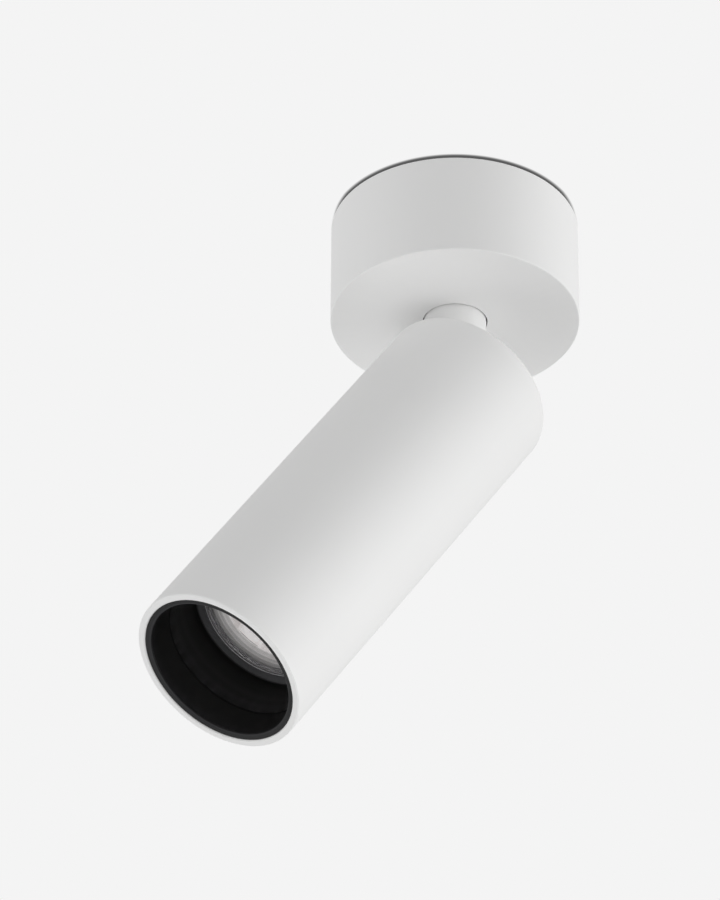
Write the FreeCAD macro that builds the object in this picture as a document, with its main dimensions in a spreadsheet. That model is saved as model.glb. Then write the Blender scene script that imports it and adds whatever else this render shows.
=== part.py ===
import FreeCAD, Part
import os
import re
import Sketcher

# Surface mounted ceiling spotlight, in millimetres. +Z is up. The origin is the centre
# of the mounting plate's ceiling face. The head leans towards -X and tilts about Y.
# The light comes apart into three groups: what is fixed to the ceiling, the neck that
# turns in the canopy, and the head that tilts on the neck.

SIZES = {
    # canopy
    "shadow_gap": 1.0,          # ceiling to the canopy's rim
    "canopy_d": 90.0,
    "canopy_h": 40.4,
    "canopy_wall": 2.0,
    "canopy_floor": 2.5,
    "canopy_edge": 0.5,         # rounding of the lower rim
    "seat_d": 41.0,             # raised ring that carries the bush
    "seat_h": 4.0,
    "grub_d": 3.0,
    "grub_below_rim": 6.5,
    "grub_sunk": 0.4,
    "ear_angle": -25.5,         # direction of the first ear and its screw
    # mounting plate
    "plate_side": 5.0,          # plate's edge to the canopy's wall
    "plate_t": 1.6,
    "plate_hole_d": 15.0,
    "ear_w": 14.0,
    "ear_h": 12.0,
    "ear_gap": 1.0,             # ear to the canopy's wall
    "ear_bend": 1.0,
    "slot_edge": 2.0,           # slot's outer end to the plate's edge
    "slot_w": 4.8,
    "slot_len": 12.0,
    # cable grommet
    "cable_d": 9.0,
    "grommet_flange_d": 19.0,
    "grommet_flange_t": 1.6,
    # connector
    "block_shift": 1.75,        # towards the grommet, from midway to the plate's edge
    "block_w": 16.0,
    "block_h": 12.0,
    "pole_pitch": 10.0,
    "sleeve_d": 5.2,
    "sleeve_bore": 3.4,
    "sleeve_len": 12.0,
    "sleeve_down": 5.0,         # plate to the sleeves' axis
    "clamp_pitch": 7.0,
    "clamp_d": 2.9,
    "clamp_len": 5.2,
    "block_screw_d": 3.0,
    "block_head_d": 5.2,
    "block_head_t": 1.8,
    # earth terminal
    "earth_d": 4.0,
    "earth_head_d": 7.6,
    "earth_head_t": 2.6,
    "earth_washer_d": 9.0,
    "earth_washer_t": 0.8,
    # neck and its bearing
    "neck_d": 22.5,
    "neck_bore": 16.0,
    "neck_gap": 0.5,            # neck to the edge of the canopy's hole
    "neck_tail": 9.5,           # pivot to the lower end
    "neck_chamfer": 0.8,
    "thread_d": 20.0,
    "thread_over": 1.5,
    "key_w": 3.0,
    "key_depth": 1.0,
    "bush_hub_d": 28.0,
    "bush_flange_d": 40.0,
    "bush_flange_t": 2.0,
    "bush_face": 1.5,
    "bush_screw_pcd": 34.4,
    "bush_screw_d": 2.5,
    "bush_screw_in": 4.5,
    "bush_head_d": 4.4,
    "bush_head_t": 1.3,
    "shoulder_play": 0.1,
    "lug_in": 15.3,
    "lug_out": 18.9,
    "lug_w": 2.4,
    "stop_d": 29.6,
    "stop_t": 1.5,
    "spring_d": 28.6,
    "spring_t": 0.5,
    "spring_h": 1.4,
    "nut_d": 29.0,
    "nut_t": 5.0,
    "nut_slot_w": 3.0,
    "nut_slot_deep": 1.8,
    "edge_bush_bore": 12.0,
    "edge_bush_flange_t": 1.2,
    "edge_bush_len": 4.0,
    # head
    "pivot_drop": 35.8,         # canopy's lower face to the tilt axis
    "tilt_rest": 33.4,
    "tilt_max": 45.0,
    "head_d": 63.5,
    "head_wall": 2.5,
    "head_end_t": 2.5,
    "head_behind": 11.2,        # tilt axis to the rear face
    "head_ahead": 162.3,        # tilt axis to the mouth
    "head_round": 5.0,
    "head_bevel_in": 1.5,
    "mouth_bevel": 0.35,
    "slot_side": 0.5,           # slot's flank to the neck
    "stop_gap": 0.4,            # slot's end to the neck at each limit
    # pivot
    "spot_half": 10.25,         # pivot's middle to the neck's spot faces
    "spot_d": 17.0,
    "washer_d": 16.0,
    "washer_t": 1.2,
    "bolt_d": 5.0,
    "bolt_head_d": 8.5,
    "bolt_head_t": 3.0,
    "bolt_over": 1.5,
    "lock_nut_af": 8.0,
    "lock_nut_t": 4.0,
    # bracket
    "strap_t": 1.5,
    "strap_w": 17.0,
    "strap_bend": 1.0,
    "foot_side": 4.75,          # foot's end to the head's bore
    "foot_screw_x": 5.0,
    "foot_screw_in": 6.0,       # from the foot's end
    "foot_screw_d": 3.0,
    "foot_head_d": 5.9,
    "foot_screw_over": 0.8,
    "lead_hole_d": 8.0,
    # lamp holder
    "holder_d": 27.0,
    "holder_h": 18.0,
    "holder_edge": 1.0,
    "holder_screw_y": 7.5,
    "holder_screw_d": 2.5,
    "holder_screw_in": 6.0,
    "holder_head_d": 5.0,
    "holder_head_t": 1.8,
    "socket_d": 5.5,
    "twist_w": 3.4,
    "twist_angle": 30.0,
    "contact_t": 1.0,
    # lamp
    "lamp_side": 4.05,          # lamp's rim to the head's bore
    "lamp_len": 46.0,           # front rim to the base's face
    "lamp_gap": 0.1,            # rim to the baffle's floor
    "rim_h": 3.5,
    "rim_lip": 1.6,
    "glass_sunk": 0.2,
    "glass_t": 1.8,
    "glass_ledge": 1.0,
    "bowl_wall": 1.3,
    "bowl_curve": 34.0,
    "lamp_neck_d": 23.6,
    "lamp_neck_h": 2.5,
    "base_h": 15.0,
    "base_d": 23.0,
    "base_flats": 19.3,
    "base_bore": 12.4,
    "base_bore_deep": 9.0,
    "capsule_d": 10.0,
    "capsule_len": 31.0,
    "pin_pitch": 10.0,
    "pin_d": 3.0,
    "pin_head_d": 4.9,
    "pin_head_t": 2.4,
    "pin_len": 7.0,
    # baffle
    "lip_sunk": 0.5,
    "lip_h": 5.0,
    "lip_wall": 1.5,
    "lip_bevel": 0.35,
    "baffle_fit": 0.1,
    "baffle_depth": 29.0,       # mouth to the baffle's floor
    "baffle_step_at": 13.0,
    "baffle_step": 0.3,
    "baffle_wall": 1.2,
    "baffle_taper": 0.3,
    "baffle_end_side": 2.65,    # inner wall's rear end to the head's bore
    "baffle_floor_t": 1.2,
    "baffle_lap": 1.4,          # floor in front of the lamp's rim
    "leaf_t": 0.3,
    "leaf_w": 6.0,
    "leaf_len": 14.0,
    # fits, as gaps on the radius
    "run_fit": 0.05,
    "screw_fit": 0.03,
}

# Heights and radii that follow from the sizes. The first group is in the light's own
# frame, the second in the head's frame, which has its origin on the tilt axis and its
# +Z towards the rear face.
DERIVED = {
    "rim_z": "-shadow_gap",
    "base_z": "rim_z - canopy_h",
    "floor_z": "base_z + canopy_floor",
    "seat_z": "floor_z + seat_h",
    "flange_z": "seat_z + bush_flange_t",
    "bush_top": "flange_z + bush_face",
    "stop_top": "bush_top + stop_t",
    "spring_top": "stop_top + spring_h",
    "nut_top": "spring_top + nut_t",
    "neck_top": "nut_top + thread_over",
    "shoulder_z": "seat_z - shoulder_play",
    "pivot_z": "base_z - pivot_drop",
    "neck_end": "pivot_z - neck_tail",
    "canopy_in": "canopy_d / 2 - canopy_wall",
    "plate_r": "canopy_in - plate_side",
    "slot_out": "plate_r - slot_edge - slot_w / 2",
    "slot_in": "slot_out - (slot_len - slot_w)",
    "ear_out": "canopy_in - ear_gap",
    "grub_z": "rim_z - grub_below_rim",
    "neck_r": "neck_d / 2",
    "block_x": "(grommet_flange_d / 2 + plate_r) / 2 - block_shift",
    "earth_x": "block_x",
    "block_z": "-plate_t - block_h",
    "block_len": "pole_pitch * 3",
    "sleeve_z": "-plate_t - sleeve_down",
    "earth_z": "-plate_t - earth_washer_t",
    "head_bore": "head_d / 2 - head_wall",
    "end_in": "head_behind - head_end_t",
    "slot_near": "neck_r + stop_gap",
    "slot_far": "neck_r / cos(tilt_max) + head_behind * tan(tilt_max) + stop_gap",
    "slot_r": "neck_r + slot_side",
    "mouth_z": "-head_ahead",
    "ear_in": "spot_half + washer_t",
    "ear_back": "ear_in + strap_t",
    "foot_reach": "head_bore - foot_side",
    "foot_screw_y": "foot_reach - foot_screw_in",
    "lamp_r": "head_bore - lamp_side",
    "glass_r": "lamp_r - rim_lip",
    "inside_r": "glass_r - glass_ledge",
    "lip_r": "head_bore - lip_wall",
    "baffle_end_r": "head_bore - baffle_end_side",
    "baffle_hole_r": "lamp_r - baffle_lap",
    "baffle_floor": "mouth_z + baffle_depth",
    "lamp_front": "baffle_floor + baffle_floor_t + lamp_gap",
    "holder_face": "lamp_front + lamp_len",
    "holder_back": "holder_face + holder_h",
    "web_top": "holder_back + strap_t",
    "base_top": "holder_face - base_h",
    "pin_end": "holder_face + pin_len",
    "lip_z": "mouth_z + lip_sunk",
    "step_z": "mouth_z + baffle_step_at",
}

doc = FreeCAD.newDocument("Spotlight")
sheet = doc.addObject("Spreadsheet::Sheet", "Sizes")
for row, (alias, amount) in enumerate(SIZES.items(), 1):
    sheet.set("A%d" % row, alias)
    sheet.set("B%d" % row, repr(amount))
    sheet.setAlias("B%d" % row, alias)
doc.recompute()


def tied(text):
    """Spell a rule in named sizes as an expression on the sheet's cells."""
    def swap(match):
        word = match.group(0)
        if word in DERIVED:
            return "(" + tied(DERIVED[word]) + ")"
        if word in SIZES:
            return "Sizes." + word
        return word
    return re.sub(r"[a-z][a-z_0-9]*", swap, text)


def number(text):
    """Present value of a rule, to start a sketch from and to find edges by."""
    return float(sheet.evalExpression(tied(text).replace("Sizes.", "")))


def origin_part(body, role):
    """Plane or axis of the body's own origin."""
    return [f for f in body.Origin.OriginFeatures if f.Role == role][0]


def new_body(label, x="0", y="0", z="0", axis=(0, 0, 1), angle="0"):
    body = doc.addObject("PartDesign::Body", label)
    body.Label = label
    body.AllowCompound = True
    turn = FreeCAD.Rotation(FreeCAD.Vector(*axis), 1)
    body.Placement = FreeCAD.Placement(FreeCAD.Vector(), turn)
    body.setExpression(".Placement.Base.x", tied(x))
    body.setExpression(".Placement.Base.y", tied(y))
    body.setExpression(".Placement.Base.z", tied(z))
    body.setExpression(".Placement.Rotation.Angle", tied(angle))
    return body


def head_body(label):
    """Body in the head's frame: on the tilt axis, leaning by the rest angle."""
    return new_body(label, z="pivot_z", axis=(0, 1, 0), angle="tilt_rest")


def sketch_on(body, name, role, shift=("0", "0", "0"), spin="0", spin_axis=(0, 0, 1)):
    """Sketch on an origin plane, shifted and turned within that plane's own frame."""
    sk = body.newObject("Sketcher::SketchObject", body.Label + "_" + name)
    sk.AttachmentSupport = (origin_part(body, role), [""])
    sk.MapMode = "FlatFace"
    turn = FreeCAD.Rotation(FreeCAD.Vector(*spin_axis), 1)
    sk.AttachmentOffset = FreeCAD.Placement(FreeCAD.Vector(), turn)
    for letter, rule in zip("xyz", shift):
        sk.setExpression(".AttachmentOffset.Base." + letter, tied(rule))
    sk.setExpression(".AttachmentOffset.Rotation.Angle", tied(spin))
    return sk


def bind(sk, kind, refs, rule):
    """Add a dimension and tie it to the sheet."""
    index = sk.addConstraint(Sketcher.Constraint(kind, *refs, number(rule)))
    sk.renameConstraint(index, "d%d" % index)
    sk.setExpression("Constraints.d%d" % index, tied(rule))


def outline(sk, points):
    """Closed outline. A point's optional third rule is the radius of an arc to the next
    point, which turns to the left of the way there, or to the right if it is negative."""
    first = sk.GeometryCount
    spots = [FreeCAD.Vector(number(p[0]), number(p[1]), 0) for p in points]
    total = len(points)
    for i, point in enumerate(points):
        a = spots[i]
        b = spots[(i + 1) % total]
        if len(point) < 3:
            sk.addGeometry(Part.LineSegment(a, b))
            continue
        bend = number(point[2])
        chord = b - a
        side = FreeCAD.Vector(-chord.y, chord.x, 0).normalize()
        rise = abs(bend) - (bend * bend - chord.Length ** 2 / 4) ** 0.5
        middle = (a + b) / 2 - side * rise * (1 if bend > 0 else -1)
        sk.addGeometry(Part.Arc(a, middle, b))
    turns_right = [len(p) > 2 and number(p[2]) < 0 for p in points]
    for i, point in enumerate(points):
        after = (i + 1) % total
        sk.addConstraint(Sketcher.Constraint(
            "Coincident", first + i, 1 if turns_right[i] else 2,
            first + after, 2 if turns_right[after] else 1))
        corner = (-1, 1, first + i, 2 if turns_right[i] else 1)
        bind(sk, "DistanceX", corner, point[0])
        bind(sk, "DistanceY", corner, point[1])
        if len(point) > 2:
            bind(sk, "Radius", (first + i,), point[2].lstrip("-"))


def ring(sk, x, y, radius):
    """Circle with its centre and radius tied to the sheet."""
    centre = FreeCAD.Vector(number(x), number(y), 0)
    index = sk.addGeometry(Part.Circle(centre, FreeCAD.Vector(0, 0, 1), number(radius)))
    bind(sk, "DistanceX", (-1, 1, index, 3), x)
    bind(sk, "DistanceY", (-1, 1, index, 3), y)
    bind(sk, "Radius", (index,), radius)


def oblong(sk, x0, y0, x1, y1, radius):
    """Slot with round ends between two centres."""
    a = FreeCAD.Vector(number(x0), number(y0), 0)
    b = FreeCAD.Vector(number(x1), number(y1), 0)
    r = number(radius)
    along = (b - a).normalize()
    side = FreeCAD.Vector(-along.y, along.x, 0)
    g = sk.addGeometry(Part.Arc(a + side * r, a - along * r, a - side * r))
    sk.addGeometry(Part.LineSegment(a - side * r, b - side * r))
    sk.addGeometry(Part.Arc(b - side * r, b + along * r, b + side * r))
    sk.addGeometry(Part.LineSegment(b + side * r, a + side * r))
    sk.addConstraint(Sketcher.Constraint("Tangent", g, 2, g + 1, 1))
    sk.addConstraint(Sketcher.Constraint("Tangent", g + 1, 2, g + 2, 1))
    sk.addConstraint(Sketcher.Constraint("Tangent", g + 2, 2, g + 3, 1))
    sk.addConstraint(Sketcher.Constraint("Tangent", g + 3, 2, g, 1))
    bind(sk, "DistanceX", (-1, 1, g, 3), x0)
    bind(sk, "DistanceY", (-1, 1, g, 3), y0)
    bind(sk, "DistanceX", (-1, 1, g + 2, 3), x1)
    bind(sk, "DistanceY", (-1, 1, g + 2, 3), y1)
    bind(sk, "Radius", (g,), radius)


def hexagon(sk, flats):
    """Regular hexagon about the sketch's origin, from its width across flats."""
    corners = []
    for k in range(6):
        corners.append(("%s / sqrt(3) * cos(%d)" % (flats, 60 * k + 30),
                        "%s / sqrt(3) * sin(%d)" % (flats, 60 * k + 30)))
    outline(sk, corners)


def turned(body, name, points, plane="XZ_Plane", axis="V_Axis", shift=("0", "0", "0")):
    """Revolve an outline of (radius, height) points about the sketch's axis."""
    sk = sketch_on(body, name + "_profile", plane, shift)
    outline(sk, points)
    feature = body.newObject("PartDesign::Revolution", body.Label + "_" + name)
    feature.Profile = sk
    feature.ReferenceAxis = (sk, [axis])
    feature.Angle = 360
    return feature


def padded(body, name, sk, length, both=False, reverse=False):
    feature = body.newObject("PartDesign::Pad", body.Label + "_" + name)
    feature.Profile = sk
    feature.SideType = "Symmetric" if both else "One side"
    feature.Reversed = reverse
    feature.setExpression("Length", tied(length))
    doc.recompute()
    return feature


def cut(body, name, sk, length, both=False, reverse=False):
    """Pocket, which has to take something away. It cuts against the sketch's normal, or
    along it when reversed."""
    doc.recompute()
    before = body.Shape.Volume
    feature = body.newObject("PartDesign::Pocket", body.Label + "_" + name)
    feature.Profile = sk
    feature.SideType = "Symmetric" if both else "One side"
    feature.Reversed = reverse
    feature.setExpression("Length", tied(length))
    doc.recompute()
    if body.Shape.Volume > before - 1e-6:
        raise RuntimeError(body.Label + " " + name + " cuts nothing")
    return feature


def polar(body, name, features, count):
    doc.recompute()
    pattern = body.newObject("PartDesign::PolarPattern", body.Label + "_" + name)
    pattern.Originals = features
    pattern.Axis = (origin_part(body, "Z_Axis"), [""])
    pattern.Angle = 360
    pattern.Occurrences = count
    body.Tip = pattern
    doc.recompute()
    return pattern


def lined(body, name, features, role, count, pitch):
    """Copies in a row along one of the body's axes, a pitch apart."""
    doc.recompute()
    pattern = body.newObject("PartDesign::LinearPattern", body.Label + "_" + name)
    pattern.Originals = features
    pattern.Direction = (origin_part(body, role), [""])
    pattern.Occurrences = count
    pattern.setExpression("Length", tied("(%s) * %d" % (pitch, count - 1)))
    body.Tip = pattern
    doc.recompute()
    return pattern


def gridded(body, name, features, pitch_x, pitch_y, count_y):
    """Two columns along X by some rows along Y."""
    doc.recompute()
    across = doc.addObject("PartDesign::LinearPattern", body.Label + "_" + name + "_x")
    along = doc.addObject("PartDesign::LinearPattern", body.Label + "_" + name + "_y")
    grid = body.newObject("PartDesign::MultiTransform", body.Label + "_" + name)
    grid.Originals = features
    body.addObject(across)
    body.addObject(along)
    across.Direction = (origin_part(body, "X_Axis"), [""])
    across.Occurrences = 2
    across.setExpression("Length", tied(pitch_x))
    along.Direction = (origin_part(body, "Y_Axis"), [""])
    along.Occurrences = count_y
    along.setExpression("Length", tied("(%s) * %d" % (pitch_y, count_y - 1)))
    grid.Transformations = [across, along]
    body.Tip = grid
    doc.recompute()
    return grid


def circles_at(shape, radius, z):
    """Names of the round edges of a radius that lie at a height."""
    names = []
    for i, edge in enumerate(shape.Edges, 1):
        if edge.Curve.TypeId != "Part::GeomCircle":
            continue
        if abs(edge.Curve.Radius - radius) < 1e-4 and abs(edge.Curve.Center.z - z) < 1e-4:
            names.append("Edge%d" % i)
    return names


def dressed(body, name, kind, edges, size):
    """Fillet or chamfer on edges of the body's last feature."""
    if not edges:
        raise RuntimeError(body.Label + " " + name + " finds no edge")
    feature = body.newObject("PartDesign::" + kind, body.Label + "_" + name)
    feature.Base = (feature.BaseFeature, edges)
    feature.setExpression("Radius" if kind == "Fillet" else "Size", tied(size))
    doc.recompute()
    return feature


def local_shape(body):
    """Shape of the body's last feature, in the body's own frame."""
    doc.recompute()
    return body.Tip.Shape


# ---------------------------------------------------------------- fixed to the ceiling

def make_mounting_plate():
    """Round steel plate. Two ears bent down take the canopy's screws, two slots take
    the ceiling screws and the middle hole passes the supply cable."""
    body = new_body("mounting_plate")
    sk = sketch_on(body, "disc", "XY_Plane")
    ring(sk, "0", "0", "plate_r")
    padded(body, "plate", sk, "plate_t", reverse=True)
    sk = sketch_on(body, "tongue", "XY_Plane", spin="ear_angle")
    outline(sk, [("ear_w", "-ear_w / 2"), ("ear_out", "-ear_w / 2"),
                 ("ear_out", "ear_w / 2"), ("ear_w", "ear_w / 2")])
    tongue = padded(body, "tongue_pad", sk, "plate_t", reverse=True)
    sk = sketch_on(body, "ear", "XY_Plane", spin="ear_angle")
    outline(sk, [("ear_out - plate_t", "-ear_w / 2"), ("ear_out", "-ear_w / 2"),
                 ("ear_out", "ear_w / 2"), ("ear_out - plate_t", "ear_w / 2")])
    ear = padded(body, "ear_pad", sk, "plate_t + ear_h", reverse=True)
    polar(body, "ears", [tongue, ear], 2)
    sk = sketch_on(body, "ear_holes_at", "YZ_Plane", ("0", "grub_z", "0"), "ear_angle",
                   (0, 1, 0))
    ring(sk, "0", "0", "grub_d / 2 + run_fit * 3")
    cut(body, "ear_holes", sk, "canopy_d", both=True)
    sk = sketch_on(body, "openings", "XY_Plane")
    ring(sk, "0", "0", "plate_hole_d / 2")
    ring(sk, "-earth_x", "0", "earth_d / 2 + screw_fit")
    ring(sk, "block_x", "pole_pitch / 2", "block_screw_d / 2 + screw_fit")
    ring(sk, "block_x", "-pole_pitch / 2", "block_screw_d / 2 + screw_fit")
    for sign in ("", "-"):
        oblong(sk, "0", sign + "(slot_in)", "0", sign + "(slot_out)", "slot_w / 2")
    cut(body, "openings_cut", sk, "plate_t")
    far = number("ear_out")
    direction = FreeCAD.Rotation(FreeCAD.Vector(0, 0, 1), number("ear_angle"))
    outward = direction.multVec(FreeCAD.Vector(1, 0, 0))
    bends = []
    for i, edge in enumerate(local_shape(body).Edges, 1):
        spot = edge.CenterOfMass
        flat = abs(spot.z) < 1e-4 and abs(edge.Length - number("ear_w")) < 1e-4
        if flat and abs(abs(spot.dot(outward)) - far) < 1e-4:
            bends.append("Edge%d" % i)
    dressed(body, "bends", "Fillet", bends, "ear_bend")


def make_cable_grommet():
    """Edge bush pushed up into the plate's cable hole."""
    body = new_body("cable_grommet")
    turned(body, "bush", [
        ("cable_d / 2", "-plate_t - grommet_flange_t"),
        ("grommet_flange_d / 2", "-plate_t - grommet_flange_t"),
        ("grommet_flange_d / 2", "-plate_t"),
        ("plate_hole_d / 2 - run_fit", "-plate_t"),
        ("plate_hole_d / 2 - run_fit", "-run_fit * 2"),
        ("cable_d / 2", "-run_fit * 2")])


def make_terminal_block():
    """Three-pole connector housing under the plate, open at both ends of each pole and
    with screw wells that face down."""
    body = new_body("terminal_block", x="block_x")
    sk = sketch_on(body, "plan", "XY_Plane", ("0", "0", "-plate_t"))
    outline(sk, [("-block_w / 2", "-block_len / 2"), ("block_w / 2", "-block_len / 2"),
                 ("block_w / 2", "block_len / 2"), ("-block_w / 2", "block_len / 2")])
    padded(body, "block", sk, "block_h", reverse=True)
    sk = sketch_on(body, "bores_at", "YZ_Plane", ("0", "sleeve_z", "0"))
    for place in ("-pole_pitch", "0", "pole_pitch"):
        ring(sk, place, "0", "sleeve_d / 2 + screw_fit")
    cut(body, "bores", sk, "block_w * 2", both=True)
    sk = sketch_on(body, "wells_at", "XY_Plane", ("0", "0", "block_z"))
    for across in ("-clamp_pitch / 2", "clamp_pitch / 2"):
        for place in ("-pole_pitch", "0", "pole_pitch"):
            ring(sk, across, place, "clamp_d / 2 + run_fit * 2")
    cut(body, "wells", sk, "sleeve_z - block_z", reverse=True)
    sk = sketch_on(body, "fixings_at", "XY_Plane", ("0", "0", "block_z"))
    for place in ("-pole_pitch / 2", "pole_pitch / 2"):
        ring(sk, "0", place, "block_screw_d / 2 + run_fit")
    cut(body, "fixings", sk, "block_h", reverse=True)
    grooves = sketch_on(body, "grooves_at", "YZ_Plane", ("0", "block_z", "0"))
    for place in ("-pole_pitch / 2", "pole_pitch / 2"):
        outline(grooves, [(place + " - slot_w / 4", "-slot_w / 4"),
                          (place + " + slot_w / 4", "-slot_w / 4"),
                          (place + " + slot_w / 4", "slot_w / 4"),
                          (place + " - slot_w / 4", "slot_w / 4")])
    cut(body, "grooves", grooves, "block_w * 2", both=True)


def make_terminal_sleeves():
    """Brass barrels, one to a pole, each tapped twice from below."""
    body = new_body("terminal_sleeves", x="block_x")
    for n, place in enumerate(("-pole_pitch", "0", "pole_pitch")):
        sk = sketch_on(body, "tube%d_at" % n, "YZ_Plane", ("0", "sleeve_z", "0"))
        ring(sk, place, "0", "sleeve_d / 2")
        ring(sk, place, "0", "sleeve_bore / 2")
        padded(body, "tube%d" % n, sk, "sleeve_len", both=True)
    sk = sketch_on(body, "taps_at", "XY_Plane", ("0", "0", "sleeve_z - sleeve_d"))
    for across in ("-clamp_pitch / 2", "clamp_pitch / 2"):
        for place in ("-pole_pitch", "0", "pole_pitch"):
            ring(sk, across, place, "clamp_d / 2 + screw_fit")
    cut(body, "taps", sk, "sleeve_d", reverse=True)


def make_terminal_screws():
    """Six clamping screws that stand in the wells, their tips in the barrels."""
    body = new_body("terminal_screws", x="block_x - clamp_pitch / 2", y="-pole_pitch",
                    z="sleeve_z - sleeve_bore / 4")
    screw = turned(body, "screw", [
        ("0", "-clamp_len"), ("clamp_d / 2", "-clamp_len"),
        ("clamp_d / 2", "-clamp_d / 8"), ("clamp_d * 3 / 8", "0"), ("0", "0")])
    gridded(body, "grid", [screw], "clamp_pitch", "pole_pitch", 3)


def make_terminal_block_screws():
    """Two screws between the poles, up into the plate."""
    body = new_body("terminal_block_screws", x="block_x", y="-pole_pitch / 2")
    screw = turned(body, "screw", [
        ("0", "block_z - block_head_t"), ("block_head_d / 2", "block_z - block_head_t"),
        ("block_head_d / 2", "block_z"), ("block_screw_d / 2", "block_z"),
        ("block_screw_d / 2", "-run_fit * 2"), ("0", "-run_fit * 2")])
    lined(body, "pair", [screw], "Y_Axis", 2, "pole_pitch")


def make_earth_screw():
    body = new_body("earth_screw", x="-earth_x")
    turned(body, "screw", [
        ("0", "earth_z - earth_head_t"), ("earth_head_d / 2", "earth_z - earth_head_t"),
        ("earth_head_d / 2", "earth_z"), ("earth_d / 2", "earth_z"),
        ("earth_d / 2", "-run_fit * 2"), ("0", "-run_fit * 2")])


def make_earth_washer():
    body = new_body("earth_washer", x="-earth_x")
    turned(body, "washer", [
        ("earth_d / 2 + run_fit", "earth_z"), ("earth_washer_d / 2", "earth_z"),
        ("earth_washer_d / 2", "-plate_t"), ("earth_d / 2 + run_fit", "-plate_t")])


def make_canopy():
    """White cup, open to the ceiling. A raised ring round the neck's hole carries the
    bush, and two tapped holes near the rim take the screws that hold the cup."""
    body = new_body("canopy")
    turned(body, "cup", [
        ("neck_r + neck_gap", "base_z"), ("canopy_d / 2", "base_z"),
        ("canopy_d / 2", "rim_z"), ("canopy_in", "rim_z"), ("canopy_in", "floor_z"),
        ("seat_d / 2", "floor_z"), ("seat_d / 2", "seat_z"),
        ("bush_hub_d / 2 + screw_fit", "seat_z"),
        ("bush_hub_d / 2 + screw_fit", "floor_z"), ("neck_r + neck_gap", "floor_z")])
    sk = sketch_on(body, "taps_at", "XY_Plane", ("0", "0", "seat_z"))
    for turn in (60, 180, 300):
        ring(sk, "bush_screw_pcd / 2 * cos(%d)" % turn,
             "bush_screw_pcd / 2 * sin(%d)" % turn, "bush_screw_d / 2 + screw_fit")
    cut(body, "taps", sk, "bush_screw_in + run_fit * 4")
    sk = sketch_on(body, "side_taps_at", "YZ_Plane", ("0", "grub_z", "0"), "ear_angle",
                   (0, 1, 0))
    ring(sk, "0", "0", "grub_d / 2 + screw_fit")
    cut(body, "side_taps", sk, "canopy_d + plate_t", both=True)
    edges = circles_at(local_shape(body), number("canopy_d / 2"), number("base_z"))
    dressed(body, "rim_round", "Fillet", edges, "canopy_edge")


def make_canopy_grub_screws():
    """Two headless screws, sunk a little in the canopy's wall, with their tips in the
    ears' holes."""
    body = new_body("canopy_grub_screws", z="grub_z", angle="ear_angle")
    outer = "canopy_d / 2 - grub_sunk"
    inner = "ear_out - plate_t * 3 / 4"
    screw = turned(body, "screw", [
        (inner, "0"), (outer, "0"), (outer, "grub_d / 2"),
        (inner + " + grub_d / 8", "grub_d / 2"), (inner, "grub_d * 3 / 8")],
        axis="H_Axis")
    polar(body, "pair", [screw], 2)


def make_pan_bush():
    """Nylon bush. The neck's shoulder meets its inner step from below, and the post on
    its flange is the fixed stop for the turning neck."""
    body = new_body("pan_bush")
    turned(body, "bush", [
        ("neck_r + run_fit", "floor_z"), ("bush_hub_d / 2", "floor_z"),
        ("bush_hub_d / 2", "seat_z"), ("bush_flange_d / 2", "seat_z"),
        ("bush_flange_d / 2", "flange_z"), ("bush_hub_d / 2", "flange_z"),
        ("bush_hub_d / 2", "bush_top"), ("thread_d / 2 + run_fit", "bush_top"),
        ("thread_d / 2 + run_fit", "seat_z"), ("neck_r + run_fit", "seat_z")])
    sk = sketch_on(body, "post_at", "XY_Plane", ("0", "0", "flange_z"))
    outline(sk, [("lug_in", "-lug_w / 2"), ("lug_out", "-lug_w / 2"),
                 ("lug_out", "lug_w / 2"), ("lug_in", "lug_w / 2")])
    padded(body, "post", sk, "stop_top - (flange_z)")
    sk = sketch_on(body, "holes_at", "XY_Plane", ("0", "0", "flange_z"))
    for turn in (60, 180, 300):
        ring(sk, "bush_screw_pcd / 2 * cos(%d)" % turn,
             "bush_screw_pcd / 2 * sin(%d)" % turn, "bush_screw_d / 2 + run_fit * 3")
    cut(body, "holes", sk, "bush_flange_t")


def make_pan_bush_screws():
    body = new_body("pan_bush_screws", angle="60")
    screw = turned(body, "screw", [
        ("0", "seat_z - bush_screw_in"), ("bush_screw_d / 2", "seat_z - bush_screw_in"),
        ("bush_screw_d / 2", "flange_z"), ("bush_head_d / 2", "flange_z"),
        ("bush_head_d / 2", "flange_z + bush_head_t"), ("0", "flange_z + bush_head_t")],
        shift=("bush_screw_pcd / 2", "0", "0"))
    polar(body, "three", [screw], 3)


# ------------------------------------------------------------------- turns in the canopy

def make_neck_tube():
    """Tube that turns in the bush. Its reduced top is threaded and has a keyway, and its
    lower end has two round spot faces and a cross bore for the tilt bolt."""
    body = new_body("neck_tube")
    turned(body, "tube", [
        ("neck_bore / 2", "neck_end"), ("neck_r - neck_chamfer", "neck_end"),
        ("neck_r", "neck_end + neck_chamfer"), ("neck_r", "shoulder_z"),
        ("thread_d / 2", "shoulder_z"), ("thread_d / 2", "neck_top"),
        ("neck_bore / 2", "neck_top")])
    for n, side in enumerate(("spot_half", "-spot_half")):
        sk = sketch_on(body, "spot%d_at" % n, "XZ_Plane", ("0", "pivot_z", side))
        ring(sk, "0", "0", "spot_d / 2")
        cut(body, "spot%d" % n, sk, "neck_r", reverse=(n == 0))
    sk = sketch_on(body, "bolt_hole_at", "XZ_Plane", ("0", "pivot_z", "0"))
    ring(sk, "0", "0", "bolt_d / 2 + run_fit")
    cut(body, "bolt_hole", sk, "neck_d * 2", both=True)
    sk = sketch_on(body, "keyway_at", "XY_Plane", ("0", "0", "neck_top"))
    outline(sk, [("-thread_d", "-key_w / 2"), ("key_depth - thread_d / 2", "-key_w / 2"),
                 ("key_depth - thread_d / 2", "key_w / 2"), ("-thread_d", "key_w / 2")])
    cut(body, "keyway", sk, "neck_top - (bush_top)")


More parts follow.
